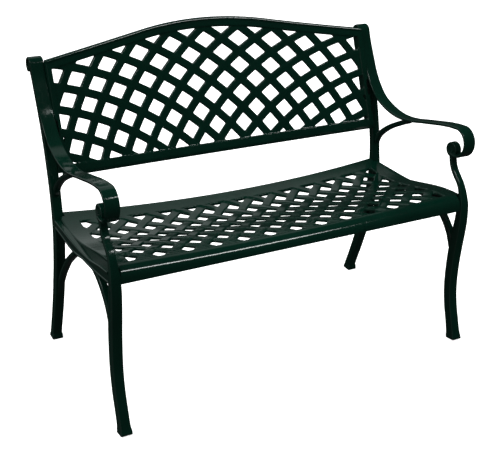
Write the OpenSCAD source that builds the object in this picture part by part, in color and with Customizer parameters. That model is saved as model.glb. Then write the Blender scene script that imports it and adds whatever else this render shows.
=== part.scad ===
// Garden bench in cast and welded aluminium: two scrolled side frames, a dished
// woven seat casting and a curved woven back casting, bolted together.
// Millimetres. +Z up, front of the bench toward -Y. Origin on the floor, under
// the middle of the whole bench.

/* [Overall] */
// Distance between the outer faces of the left and right legs
leg_span = 1034; // [900:1:1400]
// Width of the leg, post and rail castings across the bench
cast_w = 26; // [20:1:34]
// Width of the flat bar that makes the armrest
strap_w = 36.5; // [30:0.5:50]
// Thickness of the armrest bar
strap_t = 7; // [6:0.5:12]

/* [Seat] */
// Thickness of the seat casting
seat_t = 8; // [6:0.5:12]
// Height of the lowest line of the seat top
seat_low_z = 388.3; // [360:0.1:420]
// Rise from the seat hollow to its front crest
seat_rise = 33.2; // [10:0.1:50]
// Radius of the shallow side-to-side dish of the seat
seat_dish_r = 11000; // [8000:100:20000]
// Hole spacing across the seat
seat_pitch_x = 75.2; // [60:0.1:95]
// Hole spacing from front to back of the seat
seat_pitch_y = 77.3; // [60:0.1:95]
// Width of the woven seat bars
seat_bar_w = 24; // [16:0.5:32]

/* [Back] */
// Backward lean of the back panel, degrees
back_lean = 19; // [10:0.5:30]
// Radius the back panel is curved to
back_r = 1854; // [1200:1:4000]
// Height of the back panel at its middle
back_h = 380.2; // [300:0.1:460]
// Thickness of the woven part of the back
back_t = 7; // [5:0.5:12]
// Spacing of the arched back bars
back_pitch = 60.6; // [54:0.1:66]
// Width of the arched back bars
back_bar_w = 22.3; // [14:0.1:30]

/* [Hidden] */
side_x = leg_span / 2 - cast_w / 2;      // middle plane of a side casting
in_x = side_x - cast_w / 2;              // inner face of a side casting
out_x = side_x + cast_w / 2;             // outer face of a side casting
strap_x = side_x - 2;                    // middle plane of the armrest bar
neck_w = 19;                             // width of the leg above the seat
foot_w = 30;                             // flared width of a foot
foot_h = 16;                             // height of the flared part of a foot
brace_w = 18;                            // width of the arched braces
panel_depth = 2.5;                       // sunk face on the outside of the castings
panel_edge = 5;                          // raised edge left round a sunk face
rear_panel_z = [30, 370];                // height of the sunk face on a rear leg
front_panel_z = [30, 380];               // and on a front leg
steps = 5;                               // points per span on a smooth line
centre_y = 30.3;                         // middle of the whole depth
far = 1000;                              // size of cutting blocks, past every part

// seat section, measured on the middle line of the bench
hollow_y = 50;                           // lowest line of the seat
crest_y = -215;                          // front crest
lip_r = 30;                              // rolled front edge, outside radius
lip_y = crest_y - 12;                    // where the roll starts
seat_front_y = lip_y - lip_r;
lip_end_z = 391.5;                       // straight lower edge of the roll
seat_rear_y = 147;                       // rear edge on the middle line
rear_curve_r = 5700;                     // plan curve of the rear edge
rear_rise = 12;                          // upturn of the seat toward the rear edge
rear_run = 95;                           // length of the upturned part
sheet_rear_y = 180;                      // the seat sheet before its rear edge is cut
sheet_steps = 12;                        // points from there to the roll
lip_spare = 14;                          // length of the roll before its edge is cut
lip_steps = 6;                           // points round the roll
seat_side_x = in_x + 12;                 // outer edge of the seat on the side rail
seat_notch_f = -234;                     // seat stops behind the front leg
seat_notch_r = 149;                      // seat stops ahead of the rear leg
seat_border = 46;                        // plain rear border
seat_side_border = 44;                   // plain side border
hole_front_y = -222;                     // front limit of the woven part
first_row_y = 104.9;                     // middle of the rear row of holes
landing = 6;                             // step in the rail that carries the seat
seat_gap = 0.5;                          // gap round the seat on its landing
skirt_in_x = in_x - 12;                  // inner face of the seat skirt
dish_axis_z = seat_low_z + seat_dish_r;
function seat_z(y) = y > hollow_y
    ? seat_low_z + rear_rise * pow((y - hollow_y) / rear_run, 2)
    : seat_low_z + seat_rise / 2
        * (1 - cos(180 * (hollow_y - max(y, crest_y)) / (hollow_y - crest_y)));

// back panel, in its own plane: x across, s up the panel
back_y = 260.4;                          // middle of the panel, s = 0
back_z = 638.6;
back_bottom = -149;
back_top = back_bottom + back_h;
crown_r = 930;                           // arched middle of the top edge
flank = 11.75;                           // slope of the straight ends of the top edge
rail_low_h = 30;
rail_top_h = 28;
stile_w = 22;
stile_front = 6;
stile_back = 24;
relief = [478, -48];                     // gap between the stile and the armrest bar
relief_size = [40, 44];
frame_t = 12;                            // thickness of the border of the back
bead_h = 11;                             // rounded bead along the top edge
bead_t = 18;
arc_cx = 570;                            // centre and radius of the middle arched bar
arc_cs = -620.4;
arc_r = 822.2;
arc_shift = back_pitch * [0.324, 0.405]; // each next bar's centre moves by this
arc_grow = back_pitch * 0.482;           // and its radius grows by this

// fasteners
bolt_d = 6;
head_d = 12;
head_h = 4;
crown_d = 8.4;                           // flat top of a tapered head
back_bolts = [[184, 556], [253, 752]]; // post bolts, side view
seat_bolts = [70, -150];                 // seat bolts along the rail
bolt_in = 16;                            // thread length inside the castings
socket_d = 4;                            // hexagon socket in a head
socket_h = 2;
bolt_x = in_x + 6.5;                     // seat bolts, from the middle of the bench

paint = [0.05, 0.30, 0.24];
steel = [0.62, 0.64, 0.66];

// ---- smooth lines -----------------------------------------------------------
function mid_pt(a, b, c, d, t) = 0.5 * (2 * b + (c - a) * t
    + (2 * a - 5 * b + 4 * c - d) * t * t + (3 * b - a - 3 * c + d) * t * t * t);
function smooth(p, n = steps) = concat(
    [for (i = [0:len(p) - 2]) for (k = [0:n - 1])
        mid_pt(p[max(i - 1, 0)], p[i], p[i + 1], p[min(i + 2, len(p) - 1)], k / n)],
    [p[len(p) - 1]]);
function arc(c, r, a0, a1, n, w) = [for (k = [0:n])
    let (a = a0 + (a1 - a0) * k / n) [c[0] + r * cos(a), c[1] + r * sin(a), w]];
function flip(p) = [for (i = [len(p) - 1:-1:0]) p[i]];
function normal_at(p, i) =
    let (a = p[max(i - 1, 0)], b = p[min(i + 1, len(p) - 1)],
         d = [b[0] - a[0], b[1] - a[1]], l = norm(d)) [-d[1] / l, d[0] / l];
function side_line(p, g) = [for (i = [0:len(p) - 1])
    let (n = normal_at(p, i), h = p[i][2] / 2 - g) [p[i][0] + n[0] * h, p[i][1] + n[1] * h]];
function other_line(p, g) = [for (i = [0:len(p) - 1])
    let (n = normal_at(p, i), h = p[i][2] / 2 - g) [p[i][0] - n[0] * h, p[i][1] - n[1] * h]];
// bar of varying depth following a line of [y, z, depth]
module bar2d(p, g = 0) polygon(concat(side_line(p, g), flip(other_line(p, g))));
// side-view outline to a slab across the bench
module slab(x, w) translate([x, 0, 0]) rotate([90, 0, 90]) linear_extrude(w, center = true) children();
module on_side(s) if (s > 0) children(); else mirror([1, 0, 0]) children();

// ---- side frame lines, [y, z, depth] ----------------------------------------
rear_line = smooth([
    [270, -20, 33], [266.6, 0, 33], [263.5, 22, 26], [248, 62, 25], [232, 103, 26], [212, 160, 27],
    [198, 206, 28], [183, 262, 28], [172.5, 315, 28], [165.5, 362, 28], [165.8, 402, 24],
    [169, 440, 20], [173, 480, 20], [182, 530, 20], [193.5, 582, 19], [206, 625, 19],
    [221, 668, 19], [237, 706, 18], [254, 746, 17], [270.5, 780, 18]]);
post_top = [273, 787.5];
post_top_r = 13.5;
front_line = smooth([
    [-271, -20, 34], [-267, 0, 34], [-260.7, 22, 31], [-252, 55, 29], [-239.2, 103, 28.5],
    [-232.2, 156, 28.5], [-232.2, 211, 29], [-236.2, 267, 30], [-243, 320, 29], [-248, 362, 26],
    [-249, 404, 20], [-246.5, 424, 16]]);
neck_line = smooth([
    [-249, 404, 20], [-246.5, 424, 16], [-240, 446, 13], [-230, 463, 12], [-217, 477, 12],
    [-204, 492, 12], [-195.5, 508, 12], [-191, 526, 12], [-189, 545, 12]]);
roll_c = [-190.5, 548];
roll_r = 21;
scroll_c = [-213.4, 576.4];
scroll_r = 39;
cap_r = post_top_r + strap_t / 2;
strap_run = smooth([
    [251.7, 777.5, strap_t], [244.3, 757.5, strap_t], [224, 713.5, strap_t],
    [204.5, 674, strap_t], [177, 637, strap_t], [146, 610, strap_t],
    [103.5, 591.5, strap_t], [62, 582, strap_t], [22, 580, strap_t],
    [-18, 584, strap_t], [-64, 593, strap_t], [-107, 601, strap_t],
    [-150, 609, strap_t], [-187, 613.8, strap_t]], 4);
strap_line = concat(arc(post_top, cap_r, -70, 170, 12, strap_t), strap_run,
    arc(scroll_c, scroll_r, 92, 298, 14, strap_t));
arm_brace_line = smooth([
    [162, 475, 17], [147, 497, 15], [116, 522, 14], [84, 541, 14], [44, 560, 14], [10, 574, 14]]);
rear_brace_line = smooth([
    [213.5, 148.5, 16], [198.5, 178.5, 15], [174.5, 216, 15], [149, 251.5, 15], [122, 281.5, 15],
    [95.5, 308, 15], [58.5, 336.5, 15], [12.5, 366.5, 15]]);
front_brace_line = smooth([
    [-223, 261, 18], [-219.5, 283.5, 17], [-208.5, 308.5, 17], [-192.5, 331, 17], [-172.5, 351, 17],
    [-148.5, 368, 17], [-121, 380, 16], [-97, 384, 14]]);
rail_top_line = smooth([
    [166, 404], [88, 400], [33, 397.3], [-43, 396.6], [-116, 402], [-187, 414.5], [-248, 422]]);
rail_low_line = smooth([
    [166, 380], [100, 375], [62, 371], [30, 369], [0, 369.5], [-30, 373], [-60, 378],
    [-100, 379], [-150, 381.5], [-200, 387], [-248, 392]]);

// ---- side frame outlines ----------------------------------------------------
module rear_2d(g = 0) { bar2d(rear_line, g); translate(post_top) circle(post_top_r - g, $fn = 48); }
module neck_2d() { bar2d(neck_line); translate(roll_c) circle(roll_r, $fn = 64); }
module rail_2d(g = 0) polygon(concat(
    [for (p = rail_top_line) [p[0], p[1] - g]],
    flip([for (p = rail_low_line) [p[0], p[1] + g]])));
module between(z) intersection() {
    children();
    translate([-far, z[0]]) square([2 * far, z[1] - z[0]]);
}
module leg_shape() {
    slab(side_x, cast_w) between([0, far]) children();
    slab(side_x, foot_w) between([0, foot_h]) children();
}
module sunk_face(x) translate([x - panel_depth, 0, 0]) rotate([90, 0, 90])
    linear_extrude(panel_depth + 1) children();
module rear_solid() difference() {
    leg_shape() rear_2d();
    sunk_face(out_x) between(rear_panel_z) bar2d(rear_line, panel_edge);
}
module front_solid() {
    difference() {
        leg_shape() bar2d(front_line);
        sunk_face(out_x) between(front_panel_z) bar2d(front_line, panel_edge);
    }
    slab(side_x, neck_w) neck_2d();
}
module rail_solid() difference() {
    slab(side_x, cast_w) rail_2d();
    translate([in_x - 1, 0, 0]) rotate([90, 0, 90])
        linear_extrude(seat_side_x + seat_gap - in_x + 1) rail_top_cut();
    sunk_face(out_x) rail_2d(panel_edge + 1);
    rear_solid();
    front_solid();
}
rail_over = [[-248, 460], [166, 460]];   // closes the space above a rail line
// everything above the seat landing of the rail
module rail_top_cut() polygon(concat([for (p = rail_top_line) [p[0], p[1] - landing]], rail_over));

module post_bolt_holes() for (b = back_bolts) translate([in_x - 1, b[0], b[1]])
    rotate([0, 90, 0]) {
        cylinder(d = bolt_d, h = cast_w + 2, $fn = 32);
        translate([0, 0, cast_w + 1 - head_h]) cylinder(d = head_d + 1, h = head_h + 1, $fn = 48);
    }
module rail_bolt_holes() for (y = seat_bolts) translate([bolt_x, y, rail_z(y) - 1])
    cylinder(d = bolt_d, h = seat_z(y) - rail_z(y), $fn = 32);

// ---- nodes: side frames -----------------------------------------------------
module rear_leg(s) color(paint) on_side(s) difference() { rear_solid(); post_bolt_holes(); }
module front_leg(s) color(paint) on_side(s) front_solid();
module seat_rail(s) color(paint) on_side(s) difference() { rail_solid(); rail_bolt_holes(); }
module arm_strap(s) color(paint) on_side(s) difference() {
    slab(strap_x, strap_w) bar2d(strap_line);
    slab(side_x, foot_w + strap_w) { rear_2d(); neck_2d(); }
}
module arm_brace(s) color(paint) on_side(s) difference() {
    slab(side_x, brace_w) bar2d(arm_brace_line);
    slab(side_x, foot_w) rear_2d();
    slab(side_x, foot_w) above_strap_2d();
}
// the armrest bar and everything above it
module above_strap_2d() polygon(concat(side_line(strap_run, 0), strap_over));
strap_over = [[-300, 800], [300, 800]];
module rear_brace(s) color(paint) on_side(s) difference() {
    slab(side_x, brace_w) bar2d(rear_brace_line);
    slab(side_x, foot_w) rear_2d();
    slab(side_x, foot_w) above_rail_2d();
}
module front_brace(s) color(paint) on_side(s) difference() {
    slab(side_x, brace_w) bar2d(front_brace_line);
    slab(side_x, foot_w) bar2d(front_line);
    slab(side_x, foot_w) above_rail_2d();
}
module above_rail_2d() polygon(concat(rail_low_line, rail_over));

// ---- nodes: seat ------------------------------------------------------------
seat_ys = [for (k = [0:sheet_steps]) sheet_rear_y + (lip_y - sheet_rear_y) * k / sheet_steps];
function lip_arc(r, k) = let (a = 90 + 90 * k / lip_steps)
    [lip_y + r * cos(a), seat_low_z + seat_rise - lip_r + r * sin(a)];
seat_section = concat(
    [for (y = seat_ys) [y, seat_z(y)]],
    [for (k = [1:lip_steps]) lip_arc(lip_r, k)],
    [[seat_front_y, lip_end_z - lip_spare], [seat_front_y + seat_t, lip_end_z - lip_spare]],
    [for (k = [lip_steps:-1:1]) lip_arc(lip_r - seat_t, k)],
    [for (y = flip(seat_ys)) [y, seat_z(y) - seat_t]]);
// the section turned about a far axis above the bench, which gives the dish
module seat_sheet() translate([0, 0, dish_axis_z]) rotate([0, 0, 90]) rotate([0, 90, 0])
    rotate([0, 0, -dish_half]) rotate_extrude(angle = 2 * dish_half, $fn = 2000)
        polygon([for (p = seat_section) [dish_axis_z - p[1], p[0]]]);
dish_half = asin((seat_side_x + 20) / seat_dish_r);
module seat_outline() difference() {
    union() {
        translate([-in_x, seat_front_y - 1]) square([2 * in_x, sheet_rear_y - seat_front_y]);
        translate([-seat_side_x, seat_notch_f]) square([2 * seat_side_x, seat_notch_r - seat_notch_f]);
    }
    translate([0, seat_rear_y + rear_curve_r]) circle(rear_curve_r, $fn = 2000);
}
module seat_opening() difference() {
    translate([-seat_side_x + seat_side_border, hole_front_y])
        square([2 * (seat_side_x - seat_side_border), far]);
    translate([0, seat_rear_y - seat_border + rear_curve_r]) circle(rear_curve_r, $fn = 2000);
}
seat_bar_angle = atan(seat_pitch_y / seat_pitch_x);
seat_bar_gap = 1 / norm([1 / seat_pitch_x, 1 / seat_pitch_y]);
module seat_bars() for (a = [seat_bar_angle, -seat_bar_angle], k = [-14:14])
    translate([0, first_row_y]) rotate(a) translate([0, (k + 0.5) * seat_bar_gap])
        square([2 * far, seat_bar_w], center = true);
skirt_lap = 6;                           // the skirt reaches up into the dished sheet
module skirt() rotate([90, 0, 90]) linear_extrude(seat_side_x - skirt_in_x) intersection() {
    polygon(concat([for (y = seat_ys) [y, seat_z(y) + skirt_lap]],
        [for (p = flip(rail_top_line)) [p[0], p[1] - landing]]));
    translate([seat_notch_f, 0]) square([seat_notch_r - seat_notch_f, far]);
}
module seat_panel() color(paint) difference() {
    union() {
        intersection() {
            seat_sheet();
            difference() {
                linear_extrude(far) seat_outline();
                translate([-far, seat_front_y - 1, 0]) cube([2 * far, lip_r + 1, lip_end_z]);
            }
        }
        for (m = [0, 1]) mirror([m, 0, 0]) translate([skirt_in_x, 0, 0]) skirt();
    }
    linear_extrude(far) difference() { seat_opening(); seat_bars(); }
    for (m = [0, 1]) mirror([m, 0, 0]) for (y = seat_bolts) translate([bolt_x, y, rail_z(y)])
        cylinder(d = bolt_d, h = seat_bolt_top(y) - rail_z(y), $fn = 32);
}
function seat_bolt_top(y) = seat_z(y) + seat_t / 2;

// ---- nodes: back ------------------------------------------------------------
module on_back() translate([0, back_y, back_z]) rotate([90 - back_lean, 0, 0]) children();
module curved(t) intersection() {
    linear_extrude(far, center = true) children();
    translate([0, 0, back_r]) rotate([90, 0, 0]) difference() {
        cylinder(r = back_r + t / 2, h = far, center = true, $fn = 1000);
        cylinder(r = back_r - t / 2, h = far + 1, center = true, $fn = 1000);
    }
}
tan_x = crown_r * sin(flank);
tan_s = back_top - crown_r * (1 - cos(flank));
module back_outline(drop = 0, x = in_x) intersection() {
    translate([0, -drop]) union() {
        polygon([[-far, tan_s - (far - tan_x) * tan(flank)], [-tan_x, tan_s], [tan_x, tan_s],
                 [far, tan_s - (far - tan_x) * tan(flank)], [far, -far], [-far, -far]]);
        intersection() {
            translate([0, back_top - crown_r]) circle(crown_r, $fn = 720);
            translate([-tan_x, 0]) square([2 * tan_x, far]);
        }
    }
    translate([-x, back_bottom]) square([2 * x, far]);
}
module back_bars() for (m = [-1, 1], k = [-9:11])
    translate([m * (arc_cx - k * arc_shift[0]), arc_cs + k * arc_shift[1]]) difference() {
        circle(arc_r + k * arc_grow + back_bar_w / 2, $fn = 720);
        circle(arc_r + k * arc_grow - back_bar_w / 2, $fn = 720);
    }
module back_window() intersection() {
    back_outline(rail_top_h, in_x - stile_w);
    translate([-far, back_bottom + rail_low_h]) square([2 * far, far]);
}
stile_mid = pow(in_x - stile_w / 2, 2) / (2 * back_r);
module back_panel() color(paint) difference() {
    on_back() {
        curved(back_t) difference() {
            back_outline();
            difference() { back_window(); back_bars(); }
        }
        curved(frame_t) difference() { back_outline(0, in_x - stile_w / 2); back_window(); }
        curved(bead_t) difference() { back_outline(0, in_x - stile_w / 2); back_outline(bead_h, in_x); }
        for (m = [0, 1]) mirror([m, 0, 0]) intersection() {
            translate([in_x - stile_w, -far / 2, stile_mid - stile_back])
                cube([stile_w, far, stile_back + stile_front]);
            linear_extrude(far, center = true) back_outline();
        }
    }
    for (m = [0, 1]) mirror([m, 0, 0]) {
        slab(strap_x, strap_w) above_strap_2d();
        on_back() translate(relief) linear_extrude(far, center = true) square(relief_size);
        for (b = back_bolts) translate([in_x - bolt_in, b[0], b[1]])
            rotate([0, 90, 0]) cylinder(d = bolt_d, h = bolt_in + 1, $fn = 32);
    }
}

// ---- nodes: fasteners -------------------------------------------------------
module button_bolt(l) {
    cylinder(d = bolt_d, h = l, $fn = 32);
    difference() {
        translate([0, 0, -head_h]) cylinder(d1 = crown_d, d2 = head_d, h = head_h, $fn = 32);
        translate([0, 0, -head_h - 1]) cylinder(d = socket_d, h = socket_h + 1, $fn = 6);
    }
}
module post_bolts() color(steel) for (m = [0, 1]) mirror([m, 0, 0]) for (b = back_bolts)
    translate([out_x - head_h, b[0], b[1]]) rotate([0, -90, 0])
        button_bolt(cast_w - head_h + bolt_in);
module rail_bolts() color(steel) for (m = [0, 1]) mirror([m, 0, 0]) for (y = seat_bolts)
    translate([bolt_x, y, rail_z(y)]) button_bolt(seat_bolt_top(y) - rail_z(y));
function rail_z(y) = lookup(y, flip(rail_low_line));

// front-to-back figures above are from midway between the feet; the bench is then
// centred on its whole depth
module centred() translate([0, -centre_y, 0]) children();

centred() rear_leg(-1);  // left_rear_leg
centred() rear_leg(1);  // right_rear_leg
centred() front_leg(-1);  // left_front_leg
centred() front_leg(1);  // right_front_leg
centred() seat_rail(-1);  // left_seat_rail
centred() seat_rail(1);  // right_seat_rail
centred() arm_strap(-1);  // left_arm_strap
centred() arm_strap(1);  // right_arm_strap
centred() arm_brace(-1);  // left_arm_brace
centred() arm_brace(1);  // right_arm_brace
centred() rear_brace(-1);  // left_rear_brace
centred() rear_brace(1);  // right_rear_brace
centred() front_brace(-1);  // left_front_brace
centred() front_brace(1);  // right_front_brace
centred() seat_panel();
centred() back_panel();
centred() post_bolts();
centred() rail_bolts();  // seat_bolts
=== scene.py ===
import math

import bpy
import numpy as np
from mathutils import Matrix, Vector, geometry, kdtree

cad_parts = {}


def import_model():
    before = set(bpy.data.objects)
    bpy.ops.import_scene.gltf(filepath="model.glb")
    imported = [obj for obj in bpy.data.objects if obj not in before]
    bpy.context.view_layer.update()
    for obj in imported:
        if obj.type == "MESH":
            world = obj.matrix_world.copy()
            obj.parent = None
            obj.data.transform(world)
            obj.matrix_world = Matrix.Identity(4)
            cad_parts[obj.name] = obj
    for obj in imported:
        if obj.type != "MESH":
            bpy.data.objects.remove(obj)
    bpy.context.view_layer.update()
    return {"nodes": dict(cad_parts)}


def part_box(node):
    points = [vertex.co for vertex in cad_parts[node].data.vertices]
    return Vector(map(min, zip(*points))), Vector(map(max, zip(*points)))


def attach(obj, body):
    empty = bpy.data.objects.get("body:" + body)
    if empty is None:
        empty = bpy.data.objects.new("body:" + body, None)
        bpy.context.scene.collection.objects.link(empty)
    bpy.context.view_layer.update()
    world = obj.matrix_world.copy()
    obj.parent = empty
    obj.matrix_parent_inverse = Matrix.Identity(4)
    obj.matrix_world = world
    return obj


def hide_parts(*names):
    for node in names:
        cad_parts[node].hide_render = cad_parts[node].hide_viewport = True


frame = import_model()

# The bench is worked out in millimetres, measured from midway between the feet and the
# floor, and put into the row frame when a mesh is made.
MM = 0.001
SEAT_FRONT_Y = -257.0
shift_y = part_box("seat_panel")[0][1] / MM - SEAT_FRONT_Y
in_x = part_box("right_seat_rail")[0][0] / MM          # inner face of a side casting
out_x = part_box("right_seat_rail")[1][0] / MM         # outer face of a side casting
side_x = (in_x + out_x) / 2
cast_w = out_x - in_x
strap_lo, strap_hi = (c[0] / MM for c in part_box("right_arm_strap"))
brace_w = (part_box("right_rear_brace")[1][0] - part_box("right_rear_brace")[0][0]) / MM
FOOT_W = 30.0
NECK_W = 19.0


# ---- lines and loops --------------------------------------------------------
SPAN_STEPS = 6                 # points to each span of a smooth line


def smooth(points, n=SPAN_STEPS):
    """A Catmull-Rom line through the points, with n steps a span."""
    p = np.array(points, float)
    out = []
    for i in range(len(p) - 1):
        a, b, c, d = p[max(i - 1, 0)], p[i], p[i + 1], p[min(i + 2, len(p) - 1)]
        for k in range(n):
            t = k / n
            out.append(0.5 * (2 * b + (c - a) * t + (2 * a - 5 * b + 4 * c - d) * t * t
                              + (3 * b - a - 3 * c + d) * t ** 3))
    out.append(p[-1])
    return np.array(out)


def arc(centre, r, a0, a1, n, *rest):
    """Points on an arc, each followed by the same extra values."""
    return [(centre[0] + r * math.cos(math.radians(a0 + (a1 - a0) * k / n)),
             centre[1] + r * math.sin(math.radians(a0 + (a1 - a0) * k / n)), *rest)
            for k in range(n + 1)]


def between(p, q, t):
    """The point a share t of the way from p to q."""
    return (p[0] + (q[0] - p[0]) * t, p[1] + (q[1] - p[1]) * t)


def resample(loop, step):
    """A closed loop with points evenly spaced along it."""
    p = np.array(loop, float)
    q = np.vstack([p, p[:1]])
    d = np.r_[0, np.cumsum(np.hypot(*np.diff(q, axis=0).T))]
    n = max(12, int(round(d[-1] / step)))
    t = np.arange(n) * d[-1] / n
    return np.stack([np.interp(t, d, q[:, 0]), np.interp(t, d, q[:, 1])], 1)


def rounded(loop, radius, step):
    """A closed loop with its corners rounded by averaging along it."""
    fine = 0.8
    p = resample(loop, fine)
    w = max(1, int(round(radius * 0.55 / fine)))
    for _ in range(3):
        p = sum(np.roll(p, k, axis=0) for k in range(-w, w + 1)) / (2 * w + 1)
    return resample(p, step)


def area(loop):
    """Signed area, positive if the loop is counter-clockwise."""
    x, y = np.array(loop).T
    return 0.5 * float(np.sum(x * np.roll(y, -1) - np.roll(x, -1) * y))


def clip(loop, window):
    """The part of a loop inside a convex, counter-clockwise window."""
    out = [tuple(p) for p in loop]
    for i in range(len(window)):
        if len(out) < 3:
            return []
        a, b = window[i], window[(i + 1) % len(window)]
        ex, ey = b[0] - a[0], b[1] - a[1]
        src, out = out, []
        for j, p in enumerate(src):
            q = src[(j + 1) % len(src)]
            sp = ex * (p[1] - a[1]) - ey * (p[0] - a[0])
            sq = ex * (q[1] - a[1]) - ey * (q[0] - a[0])
            if sp >= 0:
                out.append(p)
            if (sp >= 0) != (sq >= 0):
                t = sp / (sp - sq)
                out.append((p[0] + t * (q[0] - p[0]), p[1] + t * (q[1] - p[1])))
    return out


# ---- making objects ---------------------------------------------------------
def make(name, verts, faces, material, node):
    """A piece from points in bench millimetres, on the root body, in place of a CAD node."""
    mesh = bpy.data.meshes.new(name)
    v = np.array(verts, float)
    v[:, 1] += shift_y
    mesh.from_pydata((v * MM).tolist(), [], faces)
    mesh.validate()
    mesh.update()
    mesh.polygons.foreach_set("use_smooth", [True] * len(mesh.polygons))
    ob = bpy.data.objects.new(name, mesh)
    bpy.context.scene.collection.objects.link(ob)
    mesh.materials.append(material)
    shading = ob.modifiers.new("even shading", "WEIGHTED_NORMAL")
    shading.keep_sharp = True
    shading.weight = 80
    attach(ob, "root")
    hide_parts(node)
    return ob


def join(parts):
    """Several (verts, faces) in one."""
    verts, faces = [], []
    for v, f in parts:
        base = len(verts)
        verts += [tuple(p) for p in v]
        faces += [tuple(i + base for i in g) for g in f]
    return verts, faces


def mirrored(part, side):
    """The part on the left, side -1, or as it is."""
    verts, faces = part
    if side > 0:
        return part
    return [(-x, y, z) for x, y, z in verts], [tuple(reversed(f)) for f in faces]


# ---- swept castings ---------------------------------------------------------
CORNER_STEPS = 4               # steps round a rounded corner or end
PANEL_RIM = 5.0                # raised edge beside the sunk face of a casting
PANEL_SLOPE = 1.6              # width of the slope from that edge down to the face
THINNEST = 0.3                 # a rounded end never narrows past this half width


def section(half_d, half_w, r, recess=0.0):
    """Outline across a bar: u along its depth, v across the bench, with rounded corners and
    a sunk face at +v."""
    r = min(r, half_d - 0.05, half_w - 0.05)
    pts = []
    for cu, cv, a0 in ((half_d - r, half_w - r, 0), (-(half_d - r), half_w - r, 90),
                       (-(half_d - r), -(half_w - r), 180), (half_d - r, -(half_w - r), 270)):
        for k in range(CORNER_STEPS + 1):
            a = math.radians(a0 + 90 * k / CORNER_STEPS)
            pts.append((cu + r * math.cos(a), cv + r * math.sin(a)))
        if a0 == 0:
            top = half_d - min(PANEL_RIM, half_d * 0.45)
            slope = min(PANEL_SLOPE, half_d * 0.2)
            down = ((top, 0), (top - slope * 0.5, recess * 0.5), (top - slope, recess))
            pts += [(u, half_w - d) for u, d in down]
            pts += [(-u, half_w - d) for u, d in reversed(down)]
    return pts


def stations_of(line, ends):
    """Where a bar's sections stand, as (y, z, direction, depth, width, how much smaller), with
    further ones that round its two ends."""
    p = np.array(line, float)
    t = np.gradient(p[:, :2], axis=0)
    t /= np.hypot(t[:, 0], t[:, 1])[:, None]

    def end(i, out, radius):
        steps = [math.radians(90 * k / CORNER_STEPS) for k in range(1, CORNER_STEPS + 1)]
        return [(p[i, 0] + out[0] * radius * math.sin(a), p[i, 1] + out[1] * radius * math.sin(a),
                 t[i], p[i, 2], p[i, 3], radius * (1 - math.cos(a))) for a in steps if radius > 0]

    body = [(p[i, 0], p[i, 1], t[i], p[i, 2], p[i, 3], 0.0) for i in range(len(p))]
    return end(0, -t[0], ends[0])[::-1] + body + end(-1, t[-1], ends[1])


def sweep(line, x_mid, r=3.0, recess=None, ends=(0.0, 0.0), cut_floor=False):
    """A bar along a side-view line of (y, z, depth, width). recess(z) is how deep its outer
    face is sunk, and ends are the rounding radii of its two ends."""
    stations = stations_of(line, ends)
    verts, faces = [], []
    for y, z, along, d, w, smaller in stations:
        sunk = recess(z) if recess else 0.0
        sec = section(max(d / 2 - smaller, THINNEST), max(w / 2 - smaller, THINNEST), r, sunk)
        for u, v in sec:
            height = z + along[0] * u
            verts.append((x_mid + v, y - along[1] * u, max(height, 0.0) if cut_floor else height))
    m = len(sec)
    for i in range(len(stations) - 1):
        for k in range(m):
            a, b = i * m + k, i * m + (k + 1) % m
            faces.append((a, b, b + m, a + m))
    faces.append(tuple(reversed(range(m))))
    faces.append(tuple(range((len(stations) - 1) * m, len(stations) * m)))
    return verts, faces


def with_width(line, width):
    """Adds the same width to every point of a side-view line."""
    return [(*p, width) for p in line]


def disc(centre, r, half_w, x_mid, edge, dish=0.0):
    """A rounded disc lying across the bench, its faces sunk by dish inside a rim."""
    prof = [(0.0, half_w - dish), (r * 0.62, half_w - dish), (r * 0.72, half_w)]
    for a in (0, 22, 45, 68, 90):
        a = math.radians(a)
        prof.append((r - edge + edge * math.sin(a), half_w - edge + edge * math.cos(a)))
    prof = prof + [(q[0], -q[1]) for q in reversed(prof)]
    n = 56
    verts, faces = [], []
    for q in prof[1:-1]:
        for k in range(n):
            a = 2 * math.pi * k / n
            y, z = centre[0] + q[0] * math.cos(a), centre[1] + q[0] * math.sin(a)
            verts.append((x_mid + q[1], y, z))
    rings = len(prof) - 2
    for i in range(rings - 1):
        for k in range(n):
            a, b = i * n + k, i * n + (k + 1) % n
            faces.append((a, a + n, b + n, b))
    faces.append(tuple(range(n)))
    faces.append(tuple(reversed(range((rings - 1) * n, rings * n))))
    return verts, faces


# ---- side frame lines: (y, z, depth[, width]) -------------------------------
REAR = [(270, -20, 33, FOOT_W), (266.6, 0, 33, FOOT_W), (265, 10, 30, 29), (263.5, 22, 26, cast_w),
        (248, 62, 25, cast_w), (232, 103, 26, cast_w), (212, 160, 27, cast_w),
        (198, 206, 28, cast_w), (183, 262, 28, cast_w), (172.5, 315, 28, cast_w),
        (165.5, 362, 28, cast_w), (165.8, 402, 24, cast_w), (169, 440, 20, cast_w),
        (173, 480, 20, cast_w), (182, 530, 20, cast_w), (193.5, 582, 19, cast_w),
        (206, 625, 19, cast_w), (221, 668, 19, cast_w), (237, 706, 18, cast_w),
        (254, 746, 17, cast_w), (270.5, 780, 18, cast_w)]
POST_TOP = (273, 787.5)
POST_TOP_R = 13.5
FRONT = [(-271, -20, 34, FOOT_W), (-267, 0, 34, FOOT_W), (-264, 10, 32.5, 29),
         (-260.7, 22, 31, cast_w), (-252, 55, 29, cast_w), (-239.2, 103, 28.5, cast_w),
         (-232.2, 156, 28.5, cast_w), (-232.2, 211, 29, cast_w), (-236.2, 267, 30, cast_w),
         (-243, 320, 29, cast_w), (-248, 362, 26, cast_w), (-249, 404, 20, cast_w),
         (-246.5, 424, 16, 23), (-240, 446, 13, 20), (-230, 463, 12, NECK_W),
         (-217, 477, 12, NECK_W), (-204, 492, 12, NECK_W), (-195.5, 508, 12, NECK_W),
         (-191, 526, 12, NECK_W), (-189, 545, 12, NECK_W)]
ROLL = (-190.5, 548)
ROLL_R = 21
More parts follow.
